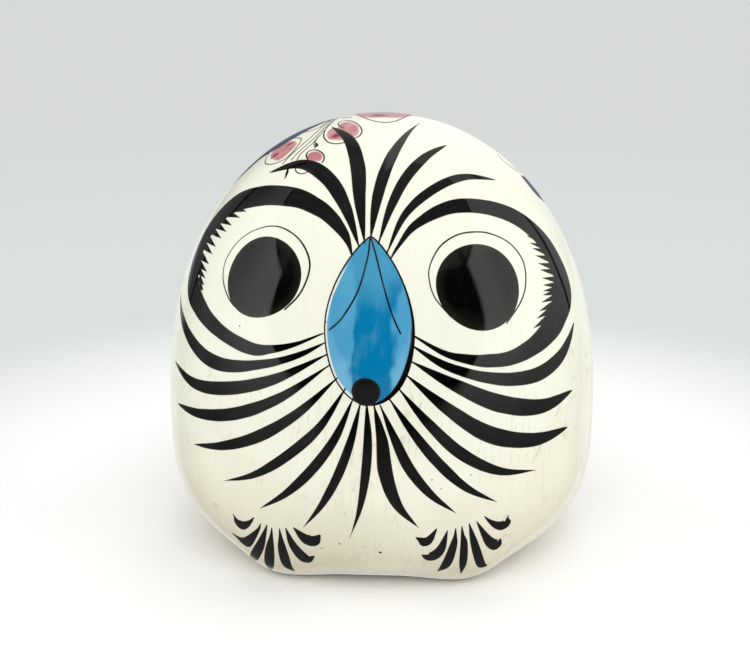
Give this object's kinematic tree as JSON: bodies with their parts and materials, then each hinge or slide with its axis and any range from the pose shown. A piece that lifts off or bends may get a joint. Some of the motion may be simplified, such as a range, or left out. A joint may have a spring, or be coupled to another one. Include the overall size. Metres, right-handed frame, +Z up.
{
  "type": "ceramic owl figure",
  "caption": "Free-standing hollow ceramic owl with a rounded body, applied teardrop beak and painted face, built from pressed half shells and a base slab.",
  "frame": {"origin": "centre of the bounding box on the plane the foot rests on", "axes": "+Z up through the crown, -Y the way the face looks, +X towards the owl's left wing"},
  "size_m": [0.15, 0.1356, 0.15],
  "materials": {
    "front_glaze": "glossy crackle glaze",
    "back_glaze": "glossy crackle glaze",
    "beak_glaze": "glossy glaze",
    "slab_clay": "bare fired clay",
    "ring_clay": "bare fired clay",
    "seam_clay": "bare fired clay"
  },
  "bodies": {
    "root": {"front_shell": "front_glaze", "back_shell": "back_glaze", "beak": "beak_glaze", "base_slab": "slab_clay", "base_coil": "ring_clay", "seam_coil": "seam_clay"}
  },
  "joints": []
}
